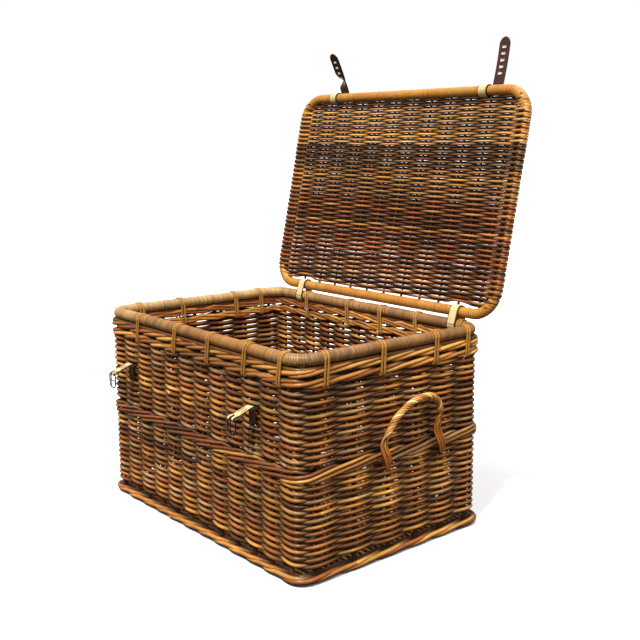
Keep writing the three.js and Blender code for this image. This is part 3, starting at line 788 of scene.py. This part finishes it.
def handle(side):
    """A rope of cane: the strands lie side by side at the feet and twist together along the grip."""
    sign = {"left": -1, "right": 1}[side]
    knots = np.array([(HALF_LENGTH + out, y, z) for out, y, z in HANDLE_ROUTE])
    spine = catmull(knots * [sign, 1, 1], 8)
    length = distance_along(spine)
    u = length / length[-1]
    side_vector, up_vector = transport(spine, Y_AXIS)
    across = unit(np.cross(tangents(spine), X_AXIS * sign))
    twist = smooth(np.interp(u, [0.17, 0.3, 0.68, 0.8], [0, 1, 1, 0]))[:, None]
    facing, rising = (f[:, None] for f in ring_facing(10))
    rods = Rods()
    for k in range(HANDLE_STRANDS):
        angle = 2 * math.pi * (k / HANDLE_STRANDS + length[:, None] / HANDLE_LAY)
        rope = ROPE_RADIUS * (np.cos(angle) * side_vector + np.sin(angle) * up_vector)
        spread = (k - (HANDLE_STRANDS - 1) / 2) * FOOT_PITCH
        fan = spread * across + 0.9 * np.cos(2.2 * k) * X_AXIS * sign
        route = spine + twist * rope + (1 - twist) * fan
        warm = np.interp(u, [0.1, 0.3, 0.66, 0.82], [0, 1, 1, 0])[:, None]
        tint = draw_tint(HANDLE_MIX) * warm + ORANGE_CANE * rng.uniform(0.8, 1.2) * (1 - warm)
        side_k, up_k = transport(route, Y_AXIS)
        ring = facing * side_k[:, None] + rising * up_k[:, None]
        away = unit(route - spine) * twist + X_AXIS * sign * (1 - twist)
        outward = np.sum(ring * away[:, None], -1)
        # Painted shade: each strand darker on the side that faces into the rope.
        light = 0.04 + 1.15 * np.clip(0.15 + 0.9 * outward, 0, 1) ** 1.4
        thick = HANDLE_ROD * rng.uniform(0.95, 1.06)
        rods.add(route, side_k, up_k, thick, thick, tint[:, None] * light[..., None], 10)
    # A core rod in the rope's middle; its near-black is painted shade between the strands.
    rods.tube(spine[16:-16], 2.4, BROWN * 0.3, sides=8, first=Y_AXIS)
    rods.write(f"handle_{side}_rope", CANE, "trunk", "golden_cane", [f"handle_{side}"])


for side_name in SIDES:
    handle(side_name)


# ---- the lid
def lid_place(points):
    """From the lid's own frame, flat with its inner face up, to the open lid in the row frame."""
    c, s = math.cos(LID_OPEN), math.sin(LID_OPEN)
    turned = points @ np.array([[1, 0, 0], [0, c, -s], [0, s, c]]).T
    return turned + LID_ORIGIN


lid_stake_x = [(i - (LID_STAKES - 1) / 2) * LID_STAKE_PITCH for i in range(LID_STAKES)]
SIDE_STICK_X = 297  # a thin stick beside each side pole, that the weavers also turn round
LID_ROWS = 80
CALM_ROWS = 6  # rows at each edge over which the waviness fades
LID_WEAVE = (12.5, 394)  # the first and last rows lie close to the poles
LID_SWING = 3.3
LID_ROD = 2.62
LID_TURN = 8.0
BAND_CLEAR = 17.5  # rows stay this far from the hinge axis beside the leather hinge bands
BAND_REACH = 40  # rows further from the axis are not moved


def lid_mix(share):
    """The rods' colours at a height on the open lid, 0 at the hinges and 1 at the front pole."""
    if share > 0.965:
        return DARK_MIX
    if share > 0.76:
        return ((GOLDEN * 1.35, 0.36), (GREY_TAN * 1.35, 0.3), (HONEY * 1.3, 0.26), (PALE, 0.08))
    if share > 0.64:
        return ((GREY_TAN * 0.6, 0.4), (CHOCOLATE, 0.3), (BROWN, 0.3))
    if share > 0.5:
        return ((HONEY, 0.4), (GREY_TAN, 0.25), (REDDISH, 0.2), (GOLDEN, 0.15))
    return ((CHOCOLATE, 0.22), (BROWN, 0.3), (REDDISH, 0.3), (HONEY, 0.18))


def lid_row_end(last, sign, y0, pitch):
    """The end of a row: over to the side pole and round it, seen from the row's last point."""
    arc = np.radians(np.linspace(92, -70, 8))
    corner = max(0, LID_CORNER_RADIUS - min(y0, LID_DEPTH - y0))
    inset = LID_CORNER_RADIUS - math.sqrt(LID_CORNER_RADIUS**2 - corner**2)
    turn = np.stack([
        sign * (LID_HALF - inset + LID_TURN * np.cos(arc)),
        y0 + pitch * np.linspace(-0.1, 0.5, len(arc)),
        -np.sign(last[2]) * LID_TURN * np.sin(arc),
    ], -1)
    t = np.linspace(0, 1, 6)[1:-1, None]
    bridge = last + (turn[0] - last) * np.concatenate([t, smooth(t), smooth(t)], -1)
    return np.vstack([bridge, turn])


def lid_weave():
    rods = Rods()
    low, high = LID_WEAVE
    pitch = (high - low) / LID_ROWS
    facing, rising = ring_facing(8)
    for row in range(LID_ROWS):
        y0 = low + pitch * (row + 0.5)
        x = np.arange(lid_stake_x[0], lid_stake_x[-1] + 0.1, LID_STAKE_PITCH / 8)
        q = (x - lid_stake_x[0]) / LID_STAKE_PITCH
        swinging = np.cos(np.pi * (q + row))
        z = LID_SWING * swinging
        calm = min(1, row / CALM_ROWS, (LID_ROWS - 1 - row) / CALM_ROWS)
        wave = calm * (0.7 * np.sin(x / 90 + 0.08 * row) + 0.4 * np.sin(x / 37 + row * 0.11))
        y = y0 + wave - 0.35 * swinging + rng.normal(0, 0.1)
        for strap_x in HINGE_STRAP_X if y0 < BAND_REACH else ():
            beside = np.exp(-(((x - (strap_x - LID_ORIGIN[0])) / 26) ** 4))
            y = np.maximum(y, y * (1 - beside) + (BAND_CLEAR + 0.72 * (y0 - low)) * beside)
        middle = np.stack([x, y, z], -1)
        left, right = (lid_row_end(middle[i], sign, y0, pitch) for i, sign in ((0, -1), (-1, 1)))
        route = np.vstack([left[::-1], middle, right])
        across = route[:, 0]
        patch = 1 + 0.16 * np.sin(across / 80 + row * 0.13) + 0.1 * np.sin(across / 33 - row * 0.21)
        inner = np.abs(across) <= lid_stake_x[-1]
        share = (y0 - low) / (high - low)
        # Rods are a little thinner over the stakes, more so higher up, which leaves dark slits there.
        slit = np.interp(share, [0.45, 0.75], [0.12, 0.42])
        slit = slit * np.clip(np.abs(route[:, 2]) / LID_SWING, 0, 1) ** 4
        thick = (LID_ROD - np.where(inner, slit, 0)) * rng.uniform(0.98, 1.04)
        # Painted shade between rods and on undersides, painted highlight on crests; at the row ends, painted
        # shade on the turns' sides that face the lid's mid plane.
        light = painted_shading(route[:, 2:] + LID_ROD * facing, facing, rising, LID_SWING + LID_ROD)
        turned = 0.5 + 0.5 * np.clip(facing * np.sign(route[:, 2:]), 0, 1)
        light = np.where(inner[:, None], light, turned)
        tint = draw_tint(lid_mix(share)) * (light * patch[:, None])[..., None]
        side, up = fixed_frame(route, Y_AXIS)
        rods.add(route, up * np.sign(up[:, 2:] + 1e-9), side, thick, thick, tint)
    nodes = ["lid_weave", "lid_left_edge", "lid_right_edge"]
    rods.write("lid_weave_rods", ROD, "lid", "brown_weave", nodes, lid_place)


def lid_stakes():
    rods = Rods()
    for sign in (-1, 1):
        y = np.linspace(LID_CORNER_RADIUS - 18, LID_DEPTH - LID_CORNER_RADIUS + 18, 24)
        route = np.stack([np.full_like(y, sign * SIDE_STICK_X), y, np.zeros_like(y)], -1)
        # These sticks' near-black is partly painted shade, for the dark gaps at the lid's sides.
        rods.tube(route, 4.2, draw_tint(DARK_MIX), sides=10, first=X_AXIS)
    for x in lid_stake_x:
        y = np.linspace(2, LID_DEPTH - 2, 40)
        route = np.stack([x + 0.4 * np.sin(y / 45 + x), y, np.zeros_like(y)], -1)
        # The stakes' near-black is partly painted shade: they lie back in the weave's shadow.
        rods.tube(route, 2.5, draw_tint(DARK_MIX) * 0.6, sides=10, first=X_AXIS)
    rods.write("lid_stake_rods", POLE, "lid", "dark_rods", ["lid_stakes"], lid_place)


lid_loop = Loop(LID_HALF, LID_DEPTH / 2, LID_CORNER_RADIUS)
LID_POLE_RADIUS = 8.4
LID_POLE_THINNING = 2.4  # how much thinner the pole is along the lid's sides
LID_WRAP_RADIUS = 9.8
LID_CANE = 5.4  # width of one turn of cane


def lid_loop_at(s):
    route, out = lid_loop.at(s)
    route[:, 1] += LID_DEPTH / 2
    return route, out


def lid_frame():
    s = np.linspace(0, lid_loop.length, 240, endpoint=False)
    route, out = lid_loop_at(s)
    beside = np.clip((np.abs(out[:, 0]) - 0.3) / 0.6, 0, 1)
    radius = LID_POLE_RADIUS - LID_POLE_THINNING * beside
    rods = Rods()
    rods.add(route, out, Z_AXIS, radius, radius, BROWN * 0.8, 14, closed=True)
    rods.write("lid_frame_rod", POLE, "lid", "dark_rods", ["lid_frame_pole"], lid_place)


def lid_binding(node, start, end):
    s = np.linspace(start, end, 300)
    route, out = lid_loop_at(s)
    length = abs(end - start)
    widths, gaps, colours = [], [], []
    while sum(widths) < length + 20:
        count = rng.integers(5, 13)
        widths += [LID_CANE] * count
        gaps += [0.2] + [0.0] * (count - 1)
        golden = GOLD_CANE + (ORANGE_CANE - GOLD_CANE) * rng.uniform(0, 0.7)
        colours += [golden * rng.uniform(0.94, 1.06) for _ in range(count)]
    widths, gaps, colours = np.array(widths), np.array(gaps), np.array(colours)

    def tint_of(index, places):
        return colours[np.minimum(index, len(colours) - 1)]

    rods = Rods()
    wound_pole(rods, route, out, LID_WRAP_RADIUS, widths, 0.5, tint_of, 16, gaps, steps=7)
    rods.write(f"{node}_cane", CANE, "lid", "golden_cane", [node], lid_place)


lid_weave()
lid_stakes()
lid_frame()
quarter_turn = LID_CORNER_RADIUS * math.pi / 2
back_half = LID_HALF - LID_CORNER_RADIUS
front_start = lid_loop.marks[3] + 0.15 * quarter_turn
front_end = lid_loop.marks[3] + 2 * quarter_turn + 2 * back_half - 0.15 * quarter_turn
back_end = back_half + 0.8 * quarter_turn
lid_binding("lid_front_binding", front_start, front_end)
lid_binding("lid_back_binding", -back_end, back_end)


# ---- leather
LEATHER_SQUARE = 0.4  # a strip's section, between round at 1 and square at 0


def add_leather(rods, route, half_width, half_thickness, colour, edge, sides=16, closed=False):
    """A flat strip, wide along X: its colour on the faces and a darker cut edge."""
    across, through = np.abs(ring_facing(sides))
    cut_edge = (across**LEATHER_SQUARE > 0.86) & (through < 0.75)
    ring = np.where(cut_edge[:, None], edge, colour)
    tint = np.broadcast_to(ring, (len(route), sides, 3))
    side, up = fixed_frame(route, X_AXIS)
    rods.add(route, side, up, half_width, half_thickness, tint, sides, closed, LEATHER_SQUARE)


def hinge_strap(x, side):
    """A leather loop round the rim pole and the lid's back pole."""
    dy, dz = LID_ORIGIN[1] - HALF_DEPTH, LID_ORIGIN[2] - RIM_Z
    tilt = math.atan2(dz, dy)
    low, high = RIM_WRAP_RADIUS + 1.6, LID_WRAP_RADIUS + 1.6
    lean = math.asin((low - high) / math.hypot(dy, dz))
    upper = tilt - math.pi / 2 + lean + (math.pi - 2 * lean) * np.linspace(0, 1, 22)
    lower = tilt + math.pi / 2 - lean + (math.pi + 2 * lean) * np.linspace(0, 1, 22)
    y = np.concatenate([dy + high * np.cos(upper), low * np.cos(lower)]) + HALF_DEPTH
    z = np.concatenate([dz + high * np.sin(upper), low * np.sin(lower)]) + RIM_Z
    knots = np.stack([np.full_like(y, x), y, z], -1)
    rods = Rods()
    route = catmull(np.vstack([knots, knots[:1]]), 2)[:-1]
    add_leather(rods, route, HINGE_STRAP_WIDTH / 2, 0.9, CREAM, DARK_EDGE, 20, closed=True)
    node = f"hinge_strap_{side}"
    rods.write(f"{node}_leather", CREAM_LEATHER, "trunk", "cream_leather", [node])


for side_name, strap_x in zip(SIDES, HINGE_STRAP_X):
    hinge_strap(strap_x, side_name)


def strap_band(x, side):
    arc = np.linspace(0, 2 * math.pi, 40, endpoint=False)
    reach = LID_WRAP_RADIUS + 1.3
    across = np.full_like(arc, x - LID_ORIGIN[0])
    route = np.stack([across, LID_DEPTH + reach * np.cos(arc), reach * np.sin(arc)], -1)
    rods = Rods()
    add_leather(rods, route, STRAP_WIDTH / 2 - 1, 0.8, CREAM, DARK_EDGE, 20, closed=True)
    node = f"strap_band_{side}"
    rods.write(f"{node}_leather", CREAM_LEATHER, "lid", "cream_leather", [node], lid_place)


STRAP_TIP = STRAP_WIDTH / 2  # length of the pointed end


def blade_outline():
    """Half width of a closing strap from its tang to its pointed tip."""
    length = np.linspace(-STRAP_TANG, STRAP_LENGTH, 60)
    point = np.clip((length - (STRAP_LENGTH - STRAP_TIP)) / STRAP_TIP, 0, 1)
    return length, np.maximum(STRAP_WIDTH / 2 * np.sqrt(np.maximum(1 - point**1.6, 0)), 0.6)


def cut_holes(strap):
    """Cut a row of holes through a straight strap."""
    cutters = Rods()
    for i in range(STRAP_HOLES):
        y = STRAP_LENGTH - STRAP_TIP - 6 - HOLE_PITCH * i
        # The cutters' near-black becomes the holes' walls: a dark cut edge, painted darker as shade inside
        # the holes.
        cutters.tube(np.array([[0, y, -4], [0, y, 4.0]]), 2.0, DARK_EDGE * 0.4, 12, first=X_AXIS)
    cutter = cutters.write("strap_hole_cutter", BROWN_LEATHER, None, "dark_leather")
    bite = strap.modifiers.new("holes", "BOOLEAN")
    bite.object = cutter
    bite.operation = "DIFFERENCE"
    bite.solver = "EXACT"
    graph = bpy.context.evaluated_depsgraph_get()
    cut_mesh = bpy.data.meshes.new_from_object(strap.evaluated_get(graph))
    strap.modifiers.clear()
    strap.data = cut_mesh
    bpy.data.objects.remove(cutter)


def bend_strap(p, side):
    """Bow the right strap off the wall; curl the left one and twist it towards edge-on."""
    t = p[:, 1] / STRAP_LENGTH
    if side == "right":
        p[:, 2] -= 1.6 * np.sin(math.pi * t)
        return
    p[:, 2] += 6 * t**2 - 3 * t
    # Flat at the fold, where a twisted edge would cut into the lid's pole. The twist turns about the edge
    # on the wall's side, so that the folded strap still clears the rim.
    growing = smooth(np.clip((p[:, 1] - TWIST_START) / (TWIST_FULL - TWIST_START), 0, 1))
    fading = np.clip(1 - (p[:, 1] - TWIST_FULL) / (TWIST_END - TWIST_FULL), 0, 1) ** 2
    turn = STRAP_TWIST * growing * fading
    c, s = np.cos(turn), np.sin(turn)
    p[:, 0], p[:, 2] = p[:, 0] * c - p[:, 2] * s, p[:, 0] * s + p[:, 2] * c - STRAP_WIDTH / 2 * s


def closing_strap(x, side, lean):
    """A dark strap with a row of holes and a pointed tip, drawn straight, then bent and leaned."""
    node = f"closing_strap_{side}"
    length, half = blade_outline()
    flat = Rods()
    route = np.stack([np.zeros_like(length), length, np.zeros_like(length)], -1)
    add_leather(flat, route, half, 1.1, DARK_LEATHER, DARK_EDGE * 0.6, 24)
    strap = flat.write(f"{node}_leather", BROWN_LEATHER, None, "dark_leather")
    cut_holes(strap)
    co = np.zeros(len(strap.data.vertices) * 3, np.float32)
    strap.data.vertices.foreach_get("co", co)
    p = co.reshape(-1, 3).astype(float) / MM
    bend_strap(p, side)
    c, s = math.cos(lean), math.sin(lean)
    leaned = np.stack([p[:, 0], p[:, 1] * c - p[:, 2] * s, p[:, 1] * s + p[:, 2] * c], -1)
    leaned += [x - LID_ORIGIN[0], LID_DEPTH + STRAP_ROOT, 0]
    fill(strap.data.vertices, "co", lid_place(leaned) * MM)
    strap.data.update()
    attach(strap, node)
    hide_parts(node)


for side_name, band_x, strap_x, strap_lean in zip(SIDES, BAND_X, STRAP_X, STRAP_LEAN):
    strap_band(band_x, side_name)
    closing_strap(strap_x, side_name, strap_lean)


# ---- buckle tabs, frames and prongs
def tab_direction(along, lift=0.0):
    """A point on the tab: along it from the hinge line, and lifted square to it (y, z)."""
    y = TAB_HINGE_Y - along * math.cos(TAB_DROP) - lift * math.sin(TAB_DROP)
    z = TAB_Z - along * math.sin(TAB_DROP) + lift * math.cos(TAB_DROP)
    return y, z


def yz_route(x, pairs):
    return np.array([(x, y, z) for y, z in pairs], float)


def buckle_tab(x, side):
    rods = Rods()
    root = [(-HALF_DEPTH - 10.6, TAB_Z - 5.5), (-HALF_DEPTH - 11.4, TAB_Z - 2)]
    knots = yz_route(x, root + [tab_direction(a, 0.8 * math.sin(a / 11)) for a in (4, 11, 19, 27, 34)])
    add_leather(rods, catmull(knots, 5), TAB_WIDTH / 2 - 0.3, 1.0, CREAM, DARK_EDGE)
    arc = np.linspace(math.pi / 2, -math.pi / 2, 9)
    around = [tab_direction(BAR_REACH + 2.3 * math.cos(a), 2.3 * math.sin(a)) for a in arc]
    loop = [tab_direction(33, 1.4)] + around + [tab_direction(a, -2.3) for a in (36, 30, 24)]
    for sign in (-1, 1):
        route = catmull(yz_route(x + sign * 5.8, loop), 3)
        add_leather(rods, route, 3.0, 0.85, CREAM * 0.9, DARK_EDGE)
    # Dark strips on the tab stand for slits: painted shade in place of openings.
    for sign in (-1, 1):
        slit = yz_route(x + sign * 3.6, [tab_direction(a, 2.0) for a in (12, 16, 20, 24)])
        side_vector, up = fixed_frame(slit, X_AXIS)
        rods.add(slit, side_vector, up, 0.7, 0.5, DARK_EDGE * 0.5, 8, square=0.6)
    tab = rods.write(f"buckle_tab_{side}_leather", CREAM_LEATHER, None, "cream_leather")
    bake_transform(tab)
    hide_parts(f"buckle_tab_{side}")


def tab_anchor(x, side):
    low, high = box_mm(f"tab_anchor_{side}")
    inset = 1.1
    y0, y1, z0, z1 = low[1] + inset, high[1] - inset, low[2] + inset, high[2] - inset
    middle = (z0 + z1) / 2
    knots = [(y0, z0 + 3), (y0 - 0.5, middle), (y0, z1 - 3), (y0 + 3, z1), (y1 - 3, z1), (y1, z1 - 3),
             (y1 + 0.5, middle), (y1, z0 + 3), (y1 - 3, z0), (y0 + 3, z0), (y0, z0 + 3)]
    route = catmull(yz_route(x, knots), 4)[:-1]
    rods = Rods()
    add_leather(rods, route, TAB_WIDTH / 2 - 0.3, 1.0, DARK_LEATHER, DARK_EDGE * 0.6, closed=True)
    rods.write(f"tab_anchor_{side}_leather", BROWN_LEATHER, "trunk", "dark_leather", [f"tab_anchor_{side}"])


def buckle(x, side):
    bar_y, bar_z = tab_direction(BAR_REACH)
    half = BUCKLE_WIDTH / 2 - WIRE_RADIUS
    round_end = 8
    corner = 1.8

    def arc(cx, cz, radius, start, stop, steps=7):
        a = np.radians(np.linspace(start, stop, steps))
        return [(cx + radius * math.cos(t), cz + radius * math.sin(t)) for t in a]

    outline = arc(half - corner, -corner, corner, 90, 0)
    outline += arc(half - round_end, -(BUCKLE_LENGTH - round_end), round_end, 0, -90, 9)
    outline += arc(-half + round_end, -(BUCKLE_LENGTH - round_end), round_end, -90, -180, 9)
    outline += arc(-half + corner, -corner, corner, 180, 90)
    frame_rods = Rods()
    ring = np.array([(x + px, bar_y, bar_z + pz) for px, pz in outline])
    ring = catmull(np.vstack([ring, ring[:1]]), 2)[:-1]
    along = unit(np.roll(ring, -1, axis=0) - np.roll(ring, 1, axis=0))
    across = np.cross(along, Y_AXIS)
    frame_rods.add(ring, across, Y_AXIS, WIRE_RADIUS, WIRE_RADIUS, CHOCOLATE, 12, closed=True)
    middle_z = bar_z - BUCKLE_LENGTH / 2
    bar = np.stack([x + np.linspace(-half, half, 9), np.full(9, bar_y), np.full(9, middle_z)], -1)
    frame_rods.tube(bar, 1.05, CHOCOLATE, 12, first=Y_AXIS)
    node = f"buckle_frame_{side}"
    frame_rods.write(f"{node}_wire", STEEL, node, "black_steel", [node])
    pin = Rods()
    eye = [(bar_y + oy, bar_z + oz) for oy, oz in arc(0, 0, 2.35, -60, 180, 12)]
    reach = BUCKLE_LENGTH - 1
    shaft = [(bar_y - 2.5, bar_z - reach * t) for t in (0.2, 0.45, 0.7, 0.9)] + [(bar_y - 1.9, bar_z - reach)]
    route = catmull(yz_route(x, eye + shaft), 3)
    taper = np.interp(np.linspace(0, 1, len(route)), [0, 0.8, 1], [0.95, 0.95, 0.5])
    pin.tube(route, taper, CHOCOLATE, 10, first=X_AXIS)
    node = f"buckle_prong_{side}"
    pin.write(f"{node}_wire", STEEL, node, "black_steel", [node])


for side_name, tab_x in zip(SIDES, TAB_X):
    tab_anchor(tab_x, side_name)
    buckle_tab(tab_x, side_name)
    buckle(tab_x, side_name)


# ---- floor, light and camera
def floor():
    mesh = bpy.data.meshes.new("floor")
    far = 80  # metres: past the horizon of a low view
    mesh.from_pydata([(-far, -far, 0), (far, -far, 0), (far, far, 0), (-far, far, 0)], [], [(0, 1, 2, 3)])
    material, tree, shader = new_material("pale_floor")
    place = add_node(tree, "ShaderNodeTexCoord").outputs["Object"]
    tree.links.new(map_range(tree, noise_on(tree, place, 3, 2), 0.7, 0.8), shader.inputs["Roughness"])
    shader.inputs["Base Color"].default_value = (0.93, 0.93, 0.93, 1)
    mesh.materials.append(material)
    plane = add_object("floor", mesh)
    plane.visible_diffuse = False  # the white floor would wash out the dark gaps in the weave
    plane.visible_glossy = False


def look(azimuth, elevation):
    """A unit vector, with its azimuth measured from +Y towards +X."""
    level = math.cos(elevation)
    return Vector((math.sin(azimuth) * level, math.cos(azimuth) * level, math.sin(elevation)))


def sun(name, azimuth, elevation, angle, strength):
    """A soft distant lamp; the azimuth it shines from is measured from -Y towards +X."""
    data = bpy.data.lights.new(name, "SUN")
    data.energy = strength
    data.angle = math.radians(angle)
    lamp = add_object(name, data)
    shining = look(math.radians(-azimuth), math.radians(-elevation))
    lamp.rotation_euler = shining.to_track_quat("-Z", "Y").to_euler()


# The sky's grey level against the sine of elevation: dim below, a white backdrop at eye level, dim above.
SKY_STOPS = ((0.0, 0.07), (0.478, 0.07), (0.488, 1.0), (0.574, 1.0), (0.59, 0.09), (1.0, 0.12))
SKY_WARMTH = (1.0, 0.9, 0.78)


def world():
    made = bpy.data.worlds.new("studio")
    made.use_nodes = True
    tree = made.node_tree
    background = tree.nodes["Background"]
    direction = add_node(tree, "ShaderNodeTexCoord").outputs["Generated"]
    split = add_node(tree, "ShaderNodeSeparateXYZ")
    tree.links.new(direction, split.inputs["Vector"])
    height = add_node(tree, "ShaderNodeMapRange")
    height.inputs["From Min"].default_value = -1.0
    tree.links.new(split.outputs["Z"], height.inputs["Value"])
    ramp = add_node(tree, "ShaderNodeValToRGB")
    stops = ramp.color_ramp.elements
    for place, level in SKY_STOPS:
        stop = stops.new(place)
        warmth = SKY_WARMTH if level < 1 else (1, 1, 1)
        stop.color = (*(level * w for w in warmth), 1)
    stops.remove(stops[0])
    stops.remove(stops[-1])
    tree.links.new(height.outputs["Result"], ramp.inputs["Fac"])
    tree.links.new(ramp.outputs["Color"], background.inputs["Color"])
    bpy.context.scene.world = made


CAMERA_PLACE = (1.406, -1.058, 0.684)  # metres
CAMERA_YAW = math.radians(-48.11)
CAMERA_PITCH = math.radians(-9.18)
CAMERA_ROLL = math.radians(0.08)
CAMERA_LENS = 53.85375
CAMERA_SHIFT = (-0.075, -0.034375)


def camera():
    data = bpy.data.cameras.new("camera")
    data.sensor_width = 36.0
    data.lens = CAMERA_LENS
    data.shift_x, data.shift_y = CAMERA_SHIFT
    data.clip_start, data.clip_end = 0.05, 60
    camera_object = add_object("camera", data)
    camera_object.location = CAMERA_PLACE
    forward = look(CAMERA_YAW, CAMERA_PITCH)
    turn = forward.to_track_quat("-Z", "Y").to_matrix() @ Matrix.Rotation(CAMERA_ROLL, 3, "Z")
    camera_object.rotation_euler = turn.to_euler()
    bpy.context.scene.camera = camera_object


floor()
world()
sun("key", 20, 58, 6, 4.1)
sun("fill", 85, 50, 25, 1.1)
sun("back", 200, 62, 30, 0.9)
camera()
bpy.context.scene.view_settings.view_transform = "Standard"
